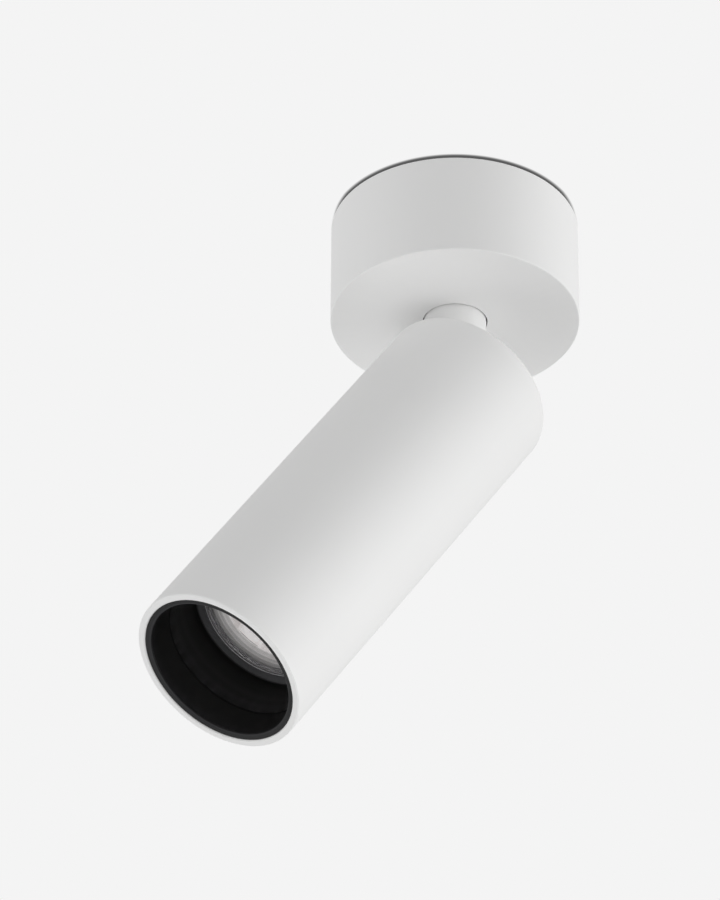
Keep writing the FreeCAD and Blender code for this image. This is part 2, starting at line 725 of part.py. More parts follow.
def make_pan_stop_washer():
    """Washer keyed to the neck. Its arm meets the bush's post after 170 degrees."""
    body = new_body("pan_stop_washer")
    turned(body, "washer", [
        ("thread_d / 2 + run_fit", "bush_top"), ("stop_d / 2", "bush_top"),
        ("stop_d / 2", "stop_top"), ("thread_d / 2 + run_fit", "stop_top")])
    sk = sketch_on(body, "arm_at", "XY_Plane", ("0", "0", "bush_top"))
    root = "lug_w / 2 - stop_d / 2"
    outline(sk, [("-lug_out", "-lug_w / 2"), (root, "-lug_w / 2"),
                 (root, "lug_w / 2"), ("-lug_out", "lug_w / 2")])
    padded(body, "arm", sk, "stop_t")
    sk = sketch_on(body, "key_at", "XY_Plane", ("0", "0", "bush_top"))
    inner = "key_depth - thread_d / 2 - run_fit * 2"
    outline(sk, [("-thread_d / 2 - key_depth", "run_fit - key_w / 2"),
                 (inner, "run_fit - key_w / 2"), (inner, "key_w / 2 - run_fit"),
                 ("-thread_d / 2 - key_depth", "key_w / 2 - run_fit")])
    padded(body, "key", sk, "stop_t")


def make_pan_spring_washer():
    """Conical spring between the stop washer and the nut."""
    body = new_body("pan_spring_washer")
    turned(body, "cone", [
        ("thread_d / 2 + run_fit * 4", "stop_top"), ("spring_d / 2", "spring_top - spring_t"),
        ("spring_d / 2", "spring_top"), ("thread_d / 2 + run_fit * 4", "stop_top + spring_t")])


def make_pan_ring_nut():
    """Ring nut with four slots for a pin spanner."""
    body = new_body("pan_ring_nut")
    turned(body, "ring", [
        ("thread_d / 2 + screw_fit", "spring_top"), ("nut_d / 2", "spring_top"),
        ("nut_d / 2", "nut_top"), ("thread_d / 2 + screw_fit", "nut_top")])
    sk = sketch_on(body, "slots_at", "XY_Plane", ("0", "0", "nut_top"))
    outline(sk, [("nut_d / 2 - nut_slot_deep", "-nut_slot_w / 2"),
                 ("nut_d", "-nut_slot_w / 2"), ("nut_d", "nut_slot_w / 2"),
                 ("nut_d / 2 - nut_slot_deep", "nut_slot_w / 2")])
    slot = cut(body, "slot", sk, "nut_t")
    polar(body, "slots", [slot], 4)


def make_neck_grommet():
    """Edge bush that keeps the leads off the rim of the neck's bore."""
    body = new_body("neck_grommet")
    turned(body, "bush", [
        ("edge_bush_bore / 2", "neck_top - edge_bush_len"),
        ("neck_bore / 2 - run_fit", "neck_top - edge_bush_len"),
        ("neck_bore / 2 - run_fit", "neck_top"), ("thread_d / 2 - run_fit", "neck_top"),
        ("thread_d / 2 - run_fit", "neck_top + edge_bush_flange_t"),
        ("edge_bush_bore / 2", "neck_top + edge_bush_flange_t")])


# ------------------------------------------------------------------- tilts on the neck

def make_head_housing():
    """One tube with a closed, rounded rear end. The slot in that end lets the neck
    through from straight to the full tilt, and its two ends are the stops."""
    body = head_body("head_housing")
    turned(body, "shell", [
        ("0", "end_in"), ("head_bore", "end_in"), ("head_bore", "mouth_z"),
        ("head_d / 2", "mouth_z"), ("head_d / 2", "head_behind"), ("0", "head_behind")])
    shape = local_shape(body)
    rear = circles_at(shape, number("head_d / 2"), number("head_behind"))
    dressed(body, "rear_round", "Fillet", rear, "head_round")
    corner = circles_at(local_shape(body), number("head_bore"), number("end_in"))
    dressed(body, "inner_bevel", "Chamfer", corner, "head_bevel_in")
    for n, radius in enumerate(("head_d / 2", "head_bore")):
        edge = circles_at(local_shape(body), number(radius), number("mouth_z"))
        dressed(body, "mouth_bevel%d" % n, "Chamfer", edge, "mouth_bevel")
    sk = sketch_on(body, "slot_at", "XY_Plane", ("0", "0", "head_behind"))
    oblong(sk, "slot_r - (slot_far)", "0", "slot_near - (slot_r)", "0", "slot_r")
    cut(body, "slot", sk, "head_end_t * 2")
    sk = sketch_on(body, "holes_at", "XY_Plane", ("0", "0", "head_behind"))
    for x in ("-foot_screw_x", "foot_screw_x"):
        for y in ("-foot_screw_y", "foot_screw_y"):
            ring(sk, x, y, "foot_screw_d / 2 + run_fit * 2")
    cut(body, "holes", sk, "head_end_t * 2")
    rims = circles_at(local_shape(body), number("foot_screw_d / 2 + run_fit * 2"),
                      number("head_behind"))
    dressed(body, "countersinks", "Chamfer", rims, "(foot_head_d - foot_screw_d) / 2")


def make_tilt_bracket():
    """Folded steel U. Its feet are screwed to the rear end, its two sides hold the tilt
    bolt, and its web carries the lamp holder."""
    body = head_body("tilt_bracket")
    sk = sketch_on(body, "fold", "YZ_Plane")
    foot = "end_in - strap_t"
    outline(sk, [
        ("-foot_reach", "end_in"), ("-ear_in", "end_in"), ("-ear_in", "web_top"),
        ("ear_in", "web_top"), ("ear_in", "end_in"), ("foot_reach", "end_in"),
        ("foot_reach", foot), ("ear_back", foot), ("ear_back", "holder_back"),
        ("-ear_back", "holder_back"), ("-ear_back", foot), ("-foot_reach", foot)])
    padded(body, "strap", sk, "strap_w", both=True)
    folds = {}
    for y, z, kind in (("ear_in", "end_in", "outside"), ("ear_back", foot, "inside"),
                       ("ear_in", "web_top", "inside"),
                       ("ear_back", "holder_back", "outside")):
        for i, edge in enumerate(local_shape(body).Edges, 1):
            spot = edge.CenterOfMass
            level = abs(abs(spot.y) - number(y)) < 1e-4 and abs(spot.z - number(z)) < 1e-4
            if level and abs(edge.Length - number("strap_w")) < 1e-4:
                folds.setdefault(kind, []).append(spot)
    for kind, size in (("inside", "strap_bend"), ("outside", "strap_bend + strap_t")):
        names = []
        for i, edge in enumerate(local_shape(body).Edges, 1):
            if any(edge.CenterOfMass.distanceToPoint(s) < 1e-3 for s in folds[kind]):
                names.append("Edge%d" % i)
        dressed(body, kind + "_bends", "Fillet", names, size)
    sk = sketch_on(body, "pivot_holes_at", "XZ_Plane")
    ring(sk, "0", "0", "bolt_d / 2 + screw_fit")
    cut(body, "pivot_holes", sk, "foot_reach * 2", both=True)
    sk = sketch_on(body, "foot_holes_at", "XY_Plane", ("0", "0", "end_in"))
    for x in ("-foot_screw_x", "foot_screw_x"):
        for y in ("-foot_screw_y", "foot_screw_y"):
            ring(sk, x, y, "foot_screw_d / 2 + screw_fit")
    cut(body, "foot_holes", sk, "strap_t * 2")
    sk = sketch_on(body, "web_holes_at", "XY_Plane", ("0", "0", "web_top"))
    ring(sk, "0", "0", "lead_hole_d / 2")
    ring(sk, "0", "holder_screw_y", "holder_screw_d / 2 + run_fit * 3")
    ring(sk, "0", "-holder_screw_y", "holder_screw_d / 2 + run_fit * 3")
    cut(body, "web_holes", sk, "strap_t * 2")


def make_tilt_bracket_screws():
    """Four countersunk screws through the rear end into the bracket's feet."""
    body = head_body("tilt_bracket_screws")
    top = "head_behind - run_fit"
    cone = "(foot_head_d - foot_screw_d) / 2"
    end = "end_in - strap_t - foot_screw_over"
    screw = turned(body, "screw", [
        ("0", end), ("foot_screw_d / 2", end), ("foot_screw_d / 2", top + " - " + cone),
        ("foot_head_d / 2", top), ("0", top)],
        shift=("-foot_screw_x", "0", "foot_screw_y"))
    gridded(body, "grid", [screw], "foot_screw_x * 2", "foot_screw_y * 2", 2)


def make_tilt_bolt():
    """Cross bolt on the tilt axis, its head on the -Y side."""
    body = head_body("tilt_bolt")
    end = "ear_back + lock_nut_t + bolt_over"
    turned(body, "bolt", [
        ("-(ear_back + bolt_head_t)", "0"), (end, "0"), (end, "bolt_d / 2"),
        ("-ear_back", "bolt_d / 2"), ("-ear_back", "bolt_head_d / 2"),
        ("-(ear_back + bolt_head_t)", "bolt_head_d / 2")],
        plane="YZ_Plane", axis="H_Axis")


def make_tilt_lock_nut():
    body = head_body("tilt_lock_nut")
    sk = sketch_on(body, "flats", "XZ_Plane", ("0", "0", "-(ear_back)"))
    hexagon(sk, "lock_nut_af")
    ring(sk, "0", "0", "bolt_d / 2 + screw_fit")
    padded(body, "nut", sk, "lock_nut_t", reverse=True)


def make_tilt_friction_washers():
    """Two washers between the bracket's sides and the neck's spot faces."""
    body = head_body("tilt_friction_washers")
    washer = turned(body, "washer", [
        ("spot_half", "bolt_d / 2 + run_fit"), ("ear_in", "bolt_d / 2 + run_fit"),
        ("ear_in", "washer_d / 2"), ("spot_half", "washer_d / 2")],
        plane="YZ_Plane", axis="H_Axis")
    polar(body, "pair", [washer], 2)


def make_lamp_holder():
    """Round ceramic holder under the web, with two sockets that widen the lamp's pins'
    way in and narrow slots that they turn into."""
    body = head_body("lamp_holder")
    turned(body, "block", [
        ("0", "holder_face"), ("holder_d / 2 - holder_edge", "holder_face"),
        ("holder_d / 2", "holder_face + holder_edge"), ("holder_d / 2", "holder_back"),
        ("0", "holder_back")])
    sk = sketch_on(body, "sockets_at", "XY_Plane", ("0", "0", "holder_face"))
    ring(sk, "0", "pin_pitch / 2", "socket_d / 2")
    ring(sk, "0", "-pin_pitch / 2", "socket_d / 2")
    cut(body, "sockets", sk, "pin_len + contact_t", reverse=True)
    for n, sign in enumerate(("", "-")):
        sk = sketch_on(body, "twist%d_at" % n, "XY_Plane", ("0", "0", "holder_face"))
        reach = sign + "(pin_pitch / 2)"
        oblong(sk, "0", reach, reach + " * -sin(twist_angle)",
               reach + " * cos(twist_angle)", "twist_w / 2")
        cut(body, "twist%d" % n, sk, "pin_len", reverse=True)
    sk = sketch_on(body, "taps_at", "XY_Plane", ("0", "0", "holder_back"))
    ring(sk, "0", "holder_screw_y", "holder_screw_d / 2 + screw_fit")
    ring(sk, "0", "-holder_screw_y", "holder_screw_d / 2 + screw_fit")
    cut(body, "taps", sk, "holder_screw_in + run_fit * 4")


def make_lamp_holder_screws():
    body = head_body("lamp_holder_screws")
    end = "holder_back - holder_screw_in"
    screw = turned(body, "screw", [
        ("0", end), ("holder_screw_d / 2", end), ("holder_screw_d / 2", "web_top"),
        ("holder_head_d / 2", "web_top"), ("holder_head_d / 2", "web_top + holder_head_t"),
        ("0", "web_top + holder_head_t")],
        plane="YZ_Plane", shift=("holder_screw_y", "0", "0"))
    polar(body, "pair", [screw], 2)


def make_holder_contacts():
    """Brass contacts at the bottom of the sockets, against the ends of the pins."""
    body = head_body("holder_contacts")
    sk = sketch_on(body, "discs", "XY_Plane", ("0", "0", "pin_end"))
    ring(sk, "0", "pin_pitch / 2", "socket_d / 2 - run_fit")
    ring(sk, "0", "-pin_pitch / 2", "socket_d / 2 - run_fit")
    padded(body, "contacts", sk, "contact_t")


def make_lamp_base():
    """Ceramic base of the lamp, with a well for the capsule's stem."""
    body = head_body("lamp_base")
    turned(body, "base", [
        ("0", "holder_face"), ("0", "base_top + base_bore_deep"),
        ("base_bore / 2", "base_top + base_bore_deep"), ("base_bore / 2", "base_top"),
        ("base_d / 2", "base_top"), ("base_d / 2", "holder_face")])
    for n, sign in enumerate(("", "-")):
        sk = sketch_on(body, "flat%d_at" % n, "XY_Plane", ("0", "0", "holder_face"))
        flat = sign + "base_flats / 2"
        outline(sk, [(flat, "-base_d"), (sign + "base_d", "-base_d"),
                     (sign + "base_d", "base_d"), (flat, "base_d")])
        cut(body, "flat%d" % n, sk, "base_h / 2")


def make_lamp_pins():
    """Two mushroom pins, their heads in the holder."""
    body = head_body("lamp_pins")
    neck = "pin_end - pin_head_t"
    pin = turned(body, "pin", [
        ("0", "holder_face"), ("pin_d / 2", "holder_face"), ("pin_d / 2", neck),
        ("pin_head_d / 2", neck), ("pin_head_d / 2", "pin_end"), ("0", "pin_end")],
        plane="YZ_Plane", shift=("pin_pitch / 2", "0", "0"))
    polar(body, "pair", [pin], 2)


def make_lamp_reflector():
    """Glass bowl on the base, with a thick rim that has a ledge for the front glass."""
    body = head_body("lamp_reflector")
    ledge = "lamp_front + glass_sunk + glass_t"
    turned(body, "bowl", [
        ("base_bore / 2", "base_top"), ("lamp_neck_d / 2", "base_top"),
        ("lamp_neck_d / 2", "base_top - lamp_neck_h", "-bowl_curve"),
        ("inside_r + bowl_wall", "lamp_front + rim_h"),
        ("lamp_r", "lamp_front + rim_h"), ("lamp_r", "lamp_front"),
        ("glass_r", "lamp_front"), ("glass_r", ledge),
        ("inside_r", ledge, "bowl_curve + bowl_wall"),
        ("lamp_neck_d / 2 - bowl_wall", "base_top - lamp_neck_h - bowl_wall"),
        ("base_bore / 2", "base_top - lamp_neck_h - bowl_wall")])


def make_lamp_cover_glass():
    body = head_body("lamp_cover_glass")
    sk = sketch_on(body, "disc", "XY_Plane", ("0", "0", "lamp_front + glass_sunk"))
    ring(sk, "0", "0", "glass_r - run_fit")
    padded(body, "glass", sk, "glass_t")


def make_lamp_capsule():
    """Quartz capsule that stands in the base's well, with a domed end."""
    body = head_body("lamp_capsule")
    low = "base_top + base_bore_deep"
    tip = low + " - capsule_len"
    turned(body, "capsule", [
        ("0", low), ("0", tip, "capsule_d / 2"),
        ("capsule_d / 2", tip + " + capsule_d / 2"), ("capsule_d / 2", low)])


def make_baffle():
    """Black glare baffle: a lip just inside the mouth, a wall that narrows in two
    stages, and a floor with a hole for the lamp's glass."""
    body = head_body("baffle")
    lip_back = "lip_z + lip_h"
    rear = "baffle_floor + baffle_floor_t"
    step_out = "lip_r - baffle_taper"
    turned(body, "ring", [
        ("lip_r", "lip_z"), ("head_bore - baffle_fit", "lip_z"),
        ("head_bore - baffle_fit", lip_back), ("lip_r + baffle_wall * 3 / 4", lip_back),
        ("baffle_end_r + baffle_wall", rear), ("baffle_hole_r", rear),
        ("baffle_hole_r", "baffle_floor"), ("baffle_end_r", "baffle_floor"),
        (step_out + " - baffle_step", "step_z"), (step_out, "step_z")])
    for n, radius in enumerate(("lip_r", "head_bore - baffle_fit")):
        edges = circles_at(local_shape(body), number(radius), number("lip_z"))
        dressed(body, "lip_bevel%d" % n, "Chamfer", edges, "lip_bevel")


def make_baffle_springs():
    """Three bowed leaves between the baffle's wall and the tube's bore."""
    body = head_body("baffle_springs")
    near = "baffle_end_r + baffle_wall + run_fit * 3"
    far = "head_bore - run_fit * 4"
    low = "baffle_floor + baffle_floor_t - leaf_len / 6"
    sk = sketch_on(body, "bow", "XZ_Plane")
    outline(sk, [
        (near, low), (far + " - leaf_t", low + " - leaf_len / 2"),
        ("lip_r + baffle_wall * 2 / 3", low + " - leaf_len"),
        ("lip_r + baffle_wall * 2 / 3 + leaf_t", low + " - leaf_len"),
        (far, low + " - leaf_len / 2"), (near + " + leaf_t", low)])
    leaf = padded(body, "leaf", sk, "leaf_w", both=True)
    polar(body, "three", [leaf], 3)


for make in (make_mounting_plate, make_cable_grommet, make_terminal_block,
             make_terminal_sleeves, make_terminal_screws, make_terminal_block_screws,
             make_earth_screw, make_earth_washer, make_canopy, make_canopy_grub_screws,
             make_pan_bush, make_pan_bush_screws, make_neck_tube, make_pan_stop_washer,
             make_pan_spring_washer, make_pan_ring_nut, make_neck_grommet,
             make_head_housing, make_tilt_bracket, make_tilt_bracket_screws,
             make_tilt_bolt, make_tilt_lock_nut, make_tilt_friction_washers,
             make_lamp_holder, make_lamp_holder_screws, make_holder_contacts,
             make_lamp_base, make_lamp_pins, make_lamp_reflector, make_lamp_cover_glass,
             make_lamp_capsule, make_baffle, make_baffle_springs):
    make()

doc.recompute()
for thing in doc.Objects:
    if "Invalid" in thing.State or "Error" in thing.State:
        raise RuntimeError(thing.Label + " failed: " + ", ".join(thing.State))
bodies = [thing for thing in doc.Objects if thing.TypeId == "PartDesign::Body"]
for body in bodies:
    if body.Shape.isNull() or not body.Shape.isValid() or not body.Shape.Solids:
        raise RuntimeError(body.Label + " has no valid shape")

os.makedirs("parts", exist_ok=True)
for body in bodies:
    body.Shape.exportStep("parts/" + body.Label + ".step")
    box = body.Shape.BoundBox
    print("%-24s %2d solids %10.1f mm3  x %7.2f %7.2f  y %7.2f %7.2f  z %8.2f %8.2f" % (
        body.Label, len(body.Shape.Solids), body.Shape.Volume, box.XMin, box.XMax,
        box.YMin, box.YMax, box.ZMin, box.ZMax))
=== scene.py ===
import math

import bmesh
import bpy
from mathutils import Matrix, Vector


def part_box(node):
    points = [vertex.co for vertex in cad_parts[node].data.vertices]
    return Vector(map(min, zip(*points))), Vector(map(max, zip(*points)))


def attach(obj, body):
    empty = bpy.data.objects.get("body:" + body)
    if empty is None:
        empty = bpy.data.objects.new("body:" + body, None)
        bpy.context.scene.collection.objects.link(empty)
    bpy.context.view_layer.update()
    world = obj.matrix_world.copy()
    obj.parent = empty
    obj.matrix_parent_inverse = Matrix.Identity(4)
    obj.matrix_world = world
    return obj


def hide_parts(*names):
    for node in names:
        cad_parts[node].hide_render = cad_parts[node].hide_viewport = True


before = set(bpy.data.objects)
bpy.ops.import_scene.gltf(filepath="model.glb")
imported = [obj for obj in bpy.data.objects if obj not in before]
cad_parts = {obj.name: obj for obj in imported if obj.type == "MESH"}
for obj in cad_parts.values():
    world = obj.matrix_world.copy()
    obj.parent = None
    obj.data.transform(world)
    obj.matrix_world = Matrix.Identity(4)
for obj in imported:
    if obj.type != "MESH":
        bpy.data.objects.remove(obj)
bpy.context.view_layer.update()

# ------------------------------------------------------------------ camera
# The view was solved in a frame with the canopy's rim at z = 0 and the camera on -Y;
# that frame is turned about the canopy's axis to the part's own.
TURN = Matrix.Rotation(math.radians(-25.503), 3, "Z")
YAW, PITCH, ROLL = -0.0217, 0.5949, 0.0067
EYE = TURN @ Vector((0, -1.567285, -1.15663)) + Vector((0, 0, -0.001))
FOCAL = 5325.03        # in pixels of a picture that is PHOTO_TALL high
PHOTO_TALL = 900
SENSOR = 36            # millimetres, along the picture's longer side


def make_camera():
    ahead = Vector((math.sin(YAW) * math.cos(PITCH), math.cos(YAW) * math.cos(PITCH),
                    math.sin(PITCH)))
    right = Vector((math.cos(YAW), -math.sin(YAW), 0))
    up = right.cross(ahead)
    across = math.cos(ROLL) * right + math.sin(ROLL) * up
    over = -math.sin(ROLL) * right + math.cos(ROLL) * up
    basis = Matrix((TURN @ across, TURN @ over, TURN @ -ahead)).transposed()
    data = bpy.data.cameras.new("photo_view")
    data.sensor_width = SENSOR
    data.lens = FOCAL * SENSOR / PHOTO_TALL
    data.clip_start = 0.05
    data.clip_end = 50
    cam = bpy.data.objects.new("photo_view", data)
    cam.matrix_world = Matrix.Translation(EYE) @ basis.to_4x4()
    bpy.context.scene.collection.objects.link(cam)
    bpy.context.scene.camera = cam


# ------------------------------------------------------------------ the head's frame
MM = 0.001
TILT = math.radians(33.4)
PIVOT = Vector((0, 0, -77.2 * MM))
HEAD = Matrix.Translation(PIVOT) @ Matrix.Rotation(TILT, 4, "Y")
MOUTH_Z = -162.3       # millimetres along the head's axis, from the tilt axis
FLOOR_Z = -132.0       # the baffle's floor
OPTIC_R = 22.5         # where the lamp's optic ends
OPTIC_PAINTED_GLOW = 0.45        # painted glow of the unlit lamp's optic, for the light it gathers and gives back


# ------------------------------------------------------------------ node helpers
class Nodes:
    """The tree of a material or world under construction: adds nodes and joins their
    sockets."""

    def __init__(self, owner, output="OutputMaterial"):
        owner.use_nodes = True
        self.owner = owner
        self.tree = owner.node_tree
        self.tree.nodes.clear()
        self.out = self.add(output)

    def add(self, kind, **sets):
        node = self.tree.nodes.new("ShaderNode" + kind)
        for key, value in sets.items():
            if hasattr(node, key):
                setattr(node, key, value)
            else:
                node.inputs[key.replace("_", " ")].default_value = value
        return node

    def join(self, a, b, source=0, target=0):
        self.tree.links.new(a.outputs[source], b.inputs[target])


def ramp(n, source, stops, output=0):
    """Colour ramp on a value, from (position, colour) stops. A number is a grey."""
    node = n.add("ValToRGB")
    band = node.color_ramp
    while len(band.elements) < len(stops):
        band.elements.new(0.5)
    for element, (at, colour) in zip(band.elements, stops):
        element.position = at
        element.color = (*colour, 1) if isinstance(colour, tuple) else (colour,) * 3 + (1,)
    n.join(source, node, output)
    return node


def ranged(n, source, output, low, high, top=1.0):
    """Runs a value from low to high as 0 to top, held at both ends."""
    node = n.add("MapRange")
    node.inputs["From Min"].default_value = low
    node.inputs["From Max"].default_value = high
    node.inputs["To Max"].default_value = top
    n.join(source, node, output, "Value")
    return node


def noise(n, place, scale, detail, output="Object"):
    texture = n.add("TexNoise", Scale=scale, Detail=detail)
    n.join(place, texture, output, "Vector")
    return texture


def head_space(n, place):
    """Place in the head's own frame at rest, with Z along its axis."""
    turn = n.add("Mapping", vector_type="TEXTURE")
    turn.inputs["Rotation"].default_value = (0, TILT, 0)
    turn.inputs["Location"].default_value = PIVOT
    n.join(place, turn, "Object", "Vector")
    return turn


def multiplied(n, a, b):
    """Colour a times colour b, by a factor in the node's first input."""
    blend = n.add("Mix", data_type="RGBA", blend_type="MULTIPLY")
    n.join(a, blend, 0, 6)
    n.join(b, blend, 0, 7)
    return blend


def worn_edges(n, base, output, amount, colour):
    """Lays a colour over the convex edges of a base colour."""
    shape = n.add("NewGeometry")
    edge = ramp(n, shape, [(0.505, 0), (0.56, amount)], "Pointiness")
    blend = n.add("Mix", data_type="RGBA")
    n.join(edge, blend, 0, 0)
    n.join(base, blend, output, 6)
    blend.inputs[7].default_value = (*colour, 1)
    return blend


def gloss_and_bump(n, shader, texture, low, high, strength, depth):
    """Roughness from low to high and a fine bump, depth in millimetres, from one
    texture."""
    gloss = ramp(n, texture, [(0.3, low), (0.7, high)], "Fac")
    n.join(gloss, shader, 0, "Roughness")
    bump = n.add("Bump", Strength=strength, Distance=depth * MM)
    n.join(texture, bump, "Fac", "Height")
    n.join(bump, shader, 0, "Normal")


def any_ray(n, *kinds):
    """1 for rays of these kinds, of which there are two or more, and 0 for others."""
    path = n.add("LightPath")
    last, output = path, "Is %s Ray" % kinds[0]
    for kind in kinds[1:]:
        either = n.add("Math", operation="MAXIMUM")
        n.join(last, either, output, 0)
        n.join(path, either, "Is %s Ray" % kind, 1)
        last, output = either, 0
    return last


def end_mixed(n, factor, first, second, output=0):
    """Ends the tree with the first shader where the factor is 0, the second where 1."""
    mix = n.add("MixShader")
    n.join(factor, mix, output, 0)
    n.join(first, mix, 0, 1)
    n.join(second, mix, 0, 2)
    n.join(mix, n.out)


# ------------------------------------------------------------------ finishes
def surface(name, colour, rough, grain, mottle, wear, wear_colour, metallic=0.0,
            grain_depth=0.02, rough_spread=0.08, coat=0.0):
    """Solid finish: slow mottling, fine grain in the bump, uneven roughness and lighter
    worn edges."""
    n = Nodes(bpy.data.materials.new(name))
    shader = n.add("BsdfPrincipled", Metallic=metallic)
    shader.inputs["Coat Weight"].default_value = coat
    place = n.add("TexCoord")
    slow = noise(n, place, 28.0, 3.0)
    dark = tuple(c * (1 - mottle) for c in colour)
    light = tuple(min(1.0, c * (1 + mottle)) for c in colour)
    tone = ramp(n, slow, [(0.35, dark), (0.65, light)], "Fac")
    n.join(worn_edges(n, tone, 0, wear, wear_colour), shader, 2, "Base Color")
    fine = noise(n, place, grain, 4.0)
    gloss_and_bump(n, shader, fine, max(0.0, rough - rough_spread),
                   min(1.0, rough + rough_spread), 0.35, grain_depth)
    n.join(shader, n.out)
    return n.owner


def clear_glass(name):
    """Clear glass that lets the room's light through to what is behind it."""
    n = Nodes(bpy.data.materials.new(name))
    shader = n.add("BsdfPrincipled", IOR=1.45)
    shader.inputs["Base Color"].default_value = (0.98, 0.98, 0.985, 1)
    shader.inputs["Transmission Weight"].default_value = 1.0
    wave = noise(n, n.add("TexCoord"), 140.0, 2.0)
    gloss_and_bump(n, shader, wave, 0.01, 0.04, 0.1, 0.003)
    end_mixed(n, any_ray(n, "Shadow", "Diffuse"), shader, n.add("BsdfTransparent"))
    return n.owner


# Painted light and shade on the baffle by height, from its mouth at 0 to its floor at 1.
# a painted highlight on the lip's rounded edge, a lighter band at the step, painted light
# on the floor
BAFFLE_PAINTED_LIGHT = [(0.0, 0.018), (0.018, 0.018), (0.025, 0.05), (0.035, 0.02), (0.06, 0.006),
                (0.58, 0.005), (0.66, 0.012), (0.74, 0.005), (0.93, 0.005), (0.965, 0.16),
                (1.0, 0.16)]


def baffle_black_painted_light(name):
    """Matt black moulding with painted light and shade: painted dark on its deep wall and
    painted lighter on its lip, step and floor. The tone follows the height along the head's
    axis."""
    n = Nodes(bpy.data.materials.new(name))
    shader = n.add("BsdfPrincipled")
    shader.inputs["Specular IOR Level"].default_value = 0.2
    place = n.add("TexCoord")
    split = n.add("SeparateXYZ")
    n.join(head_space(n, place), split)
    span = ranged(n, split, "Z", MOUTH_Z * MM, FLOOR_Z * MM)
    tone = ramp(n, span, [(at, (v, v, v * 1.04)) for at, v in BAFFLE_PAINTED_LIGHT], "Result")
    uneven = ramp(n, noise(n, place, 60.0, 3.0), [(0.35, 0.85), (0.65, 1)], "Fac")
    blend = multiplied(n, tone, uneven)
    blend.inputs[0].default_value = 1.0
    n.join(worn_edges(n, blend, 2, 0.4, (0.05, 0.05, 0.055)), shader, 2, "Base Color")
    gloss_and_bump(n, shader, noise(n, place, 2600.0, 4.0), 0.48, 0.62, 0.35, 0.015)
    n.join(shader, n.out)
    return n.owner


# Painted light on the lamp's optic by radius, from the head's axis at 0 to OPTIC_R at 1.
OPTIC_PAINTED_LIGHT = [(0.0, 0.86), (0.53, 0.86), (0.69, 0.94), (0.755, 0.77), (0.8, 0.44),
               (0.844, 0.56), (0.89, 0.3), (0.911, 0.42), (0.933, 0.27), (1.0, 0.18)]


def optic(name):
    """Moulded lamp front with painted light and reflection: grey at the edge, pale in the
    middle, with fine rings, and with streaks that fade towards the edge."""
    n = Nodes(bpy.data.materials.new(name))
    shader = n.add("BsdfPrincipled")
    turn = head_space(n, n.add("TexCoord"))
    flat = n.add("VectorMath", operation="MULTIPLY")
    flat.inputs[1].default_value = (1, 1, 0)
    n.join(turn, flat)
    away = n.add("VectorMath", operation="LENGTH")
    n.join(flat, away)
    span = ranged(n, away, "Value", 0, OPTIC_R * MM)
    tone = ramp(n, span, [(at, (v, v * 0.975, v * 0.965)) for at, v in OPTIC_PAINTED_LIGHT],
                "Result")
    stretch = n.add("Mapping")
    stretch.inputs["Scale"].default_value = (1.0, 0.22, 1.0)
    n.join(turn, stretch, 0, "Vector")
    streaks = noise(n, stretch, 260.0, 3.0, 0)
    shade = ramp(n, streaks, [(0.36, (0.62, 0.58, 0.57)), (0.46, (0.95, 0.94, 0.94)),
                              (0.6, 1)], "Fac")
    blend = multiplied(n, tone, shade)
    n.join(ramp(n, span, [(0.68, 0.8), (0.8, 0.25)], "Result"), blend, 0, 0)
    n.join(blend, shader, 2, "Base Color")
    # painted glow: the optic gives off its painted colour as light, though the lamp is
    # unlit
    n.join(blend, shader, 2, "Emission Color")
    shader.inputs["Emission Strength"].default_value = OPTIC_PAINTED_GLOW
    gloss_and_bump(n, shader, streaks, 0.12, 0.3, 0.3, 0.05)
    n.join(shader, n.out)
    return n.owner


WHITE = surface("white_powder_coat", (0.85, 0.85, 0.845), 0.55, grain=1500,
                mottle=0.006, wear=0.25, wear_colour=(0.9, 0.9, 0.9), rough_spread=0.05)
BLACK = baffle_black_painted_light("black_baffle_moulding")
ZINC = surface("zinc_plate", (0.55, 0.56, 0.57), 0.38, metallic=1.0, grain=700,
               grain_depth=0.01, mottle=0.12, wear=0.4, wear_colour=(0.8, 0.8, 0.8))
STEEL = surface("turned_steel", (0.5, 0.5, 0.51), 0.3, metallic=1.0, grain=1200,
                grain_depth=0.01, mottle=0.08, wear=0.5, wear_colour=(0.85, 0.85, 0.85))
BRASS = surface("turned_brass", (0.72, 0.52, 0.22), 0.3, metallic=1.0, grain=1200,
                grain_depth=0.01, mottle=0.1, wear=0.4, wear_colour=(0.9, 0.75, 0.45))
IVORY = surface("ivory_moulding", (0.72, 0.69, 0.6), 0.45, grain=1800, mottle=0.03,
                wear=0.3, wear_colour=(0.85, 0.83, 0.76))
RUBBER = surface("black_rubber", (0.02, 0.02, 0.02), 0.75, grain=1500, grain_depth=0.05,
                 mottle=0.15, wear=0.3, wear_colour=(0.08, 0.08, 0.08))
NYLON = surface("black_nylon", (0.018, 0.018, 0.02), 0.42, grain=1300, mottle=0.1,
                wear=0.4, wear_colour=(0.07, 0.07, 0.075))
CERAMIC = surface("glazed_ceramic", (0.78, 0.76, 0.7), 0.22, grain=300, grain_depth=0.03,
                  mottle=0.02, coat=0.3, rough_spread=0.05, wear=0.3,
                  wear_colour=(0.9, 0.88, 0.84))
GLASS = clear_glass("clear_glass")
# light grey as a painted glint on the edge of the lamp's glass
EDGE = surface("glass_edge_painted_glint", (0.55, 0.55, 0.57), 0.35, grain=900, mottle=0.05,
               wear=0.3, wear_colour=(0.8, 0.8, 0.8))
OPTIC = optic("moulded_optic")
REFLECTOR = surface("coated_bowl", (0.4, 0.39, 0.4), 0.35, grain=500, grain_depth=0.002,
                    mottle=0.02, wear=0.1, wear_colour=(0.5, 0.5, 0.5))

